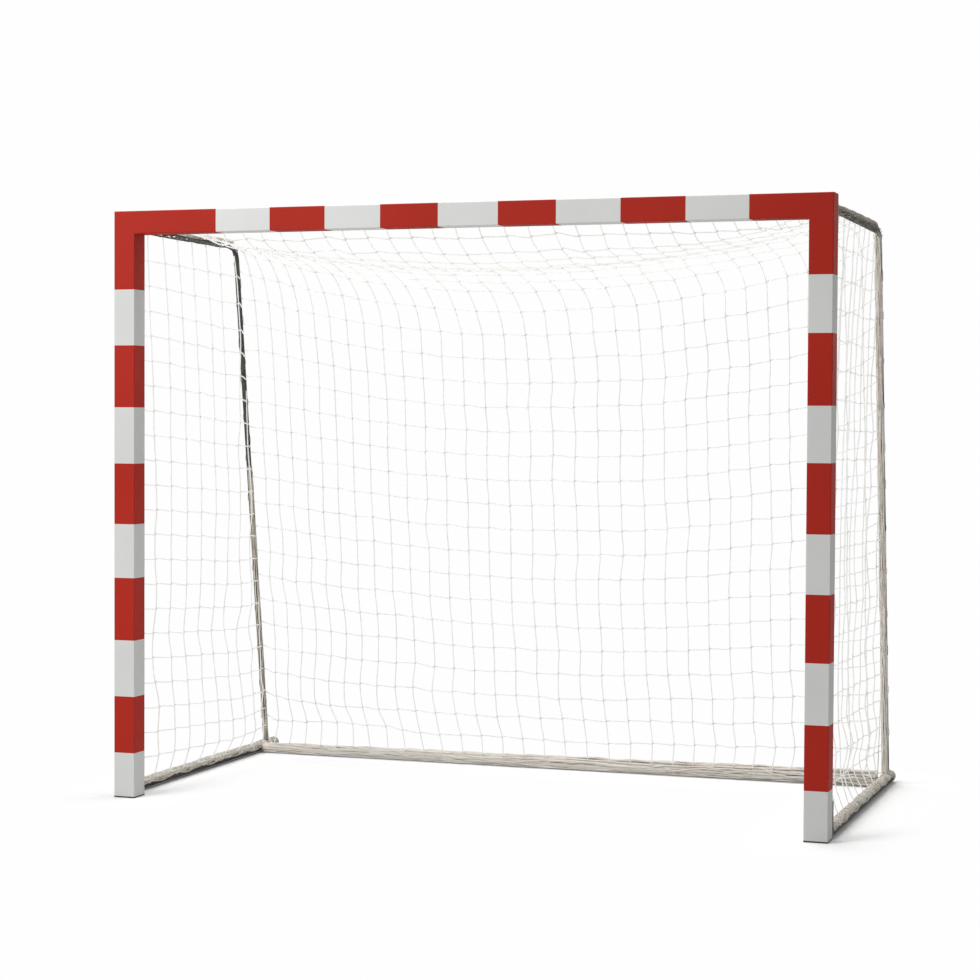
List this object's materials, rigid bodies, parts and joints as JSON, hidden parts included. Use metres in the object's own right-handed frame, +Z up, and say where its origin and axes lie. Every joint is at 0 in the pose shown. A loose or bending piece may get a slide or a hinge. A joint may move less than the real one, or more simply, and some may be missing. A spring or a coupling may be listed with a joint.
{
  "type": "hockey goal net",
  "caption": "Free-standing indoor goal with a square-section banded frame, bent tube hoops, a tube ground frame and a string net.",
  "frame": {"origin": "on the floor, in the middle of the footprint: midway between the posts, and halfway from the front face of the posts to the tips of the rail caps", "axes": "+X along the crossbar, +Y to the rear of the goal, +Z up"},
  "size_m": [2.572, 1.35, 2.08],
  "materials": {
    "painted_section": "satin enamel, white with red bands",
    "cast_bracket": "as cast",
    "foot_plastic": "moulded",
    "galvanised_tube": "galvanised",
    "plate_steel": "galvanised",
    "bolt_steel": "zinc plated",
    "cap_plastic": "moulded",
    "net_twine": "twisted twine",
    "hook_plastic": "moulded",
    "rolled_net": "rolled net strands"
  },
  "bodies": {
    "root": {"back_net": "net_twine", "bar_lock_screws": "bolt_steel", "corner_bracket_screws": "bolt_steel", "crossbar": "painted_section", "crossbar_net_hooks": "hook_plastic", "hoop_plate_bolts": "bolt_steel", "left_bar_spigot": "galvanised_tube", "left_corner_bracket": "cast_bracket", "left_foot_cap": "foot_plastic", "left_ground_rail": "galvanised_tube", "left_hoop_net_ties": "net_twine", "left_hoop_plate": "plate_steel", "left_hoop_spigot": "galvanised_tube", "left_net_hoop": "galvanised_tube", "left_nut_plate": "cast_bracket", "left_post": "painted_section", "left_post_net_hooks": "hook_plastic", "left_rail_cap": "cap_plastic", "left_rail_net_wrap": "rolled_net", "left_rail_plate": "plate_steel", "left_side_net": "net_twine", "rail_plate_bolts": "bolt_steel", "rear_bar_net_wrap": "rolled_net", "rear_ground_bar": "galvanised_tube", "right_bar_spigot": "galvanised_tube", "right_corner_bracket": "cast_bracket", "right_foot_cap": "foot_plastic", "right_ground_rail": "galvanised_tube", "right_hoop_net_ties": "net_twine", "right_hoop_plate": "plate_steel", "right_hoop_spigot": "galvanised_tube", "right_net_hoop": "galvanised_tube", "right_nut_plate": "cast_bracket", "right_post": "painted_section", "right_post_net_hooks": "hook_plastic", "right_rail_cap": "cap_plastic", "right_rail_net_wrap": "rolled_net", "right_rail_plate": "plate_steel", "right_side_net": "net_twine", "top_net": "net_twine"}
  },
  "joints": []
}
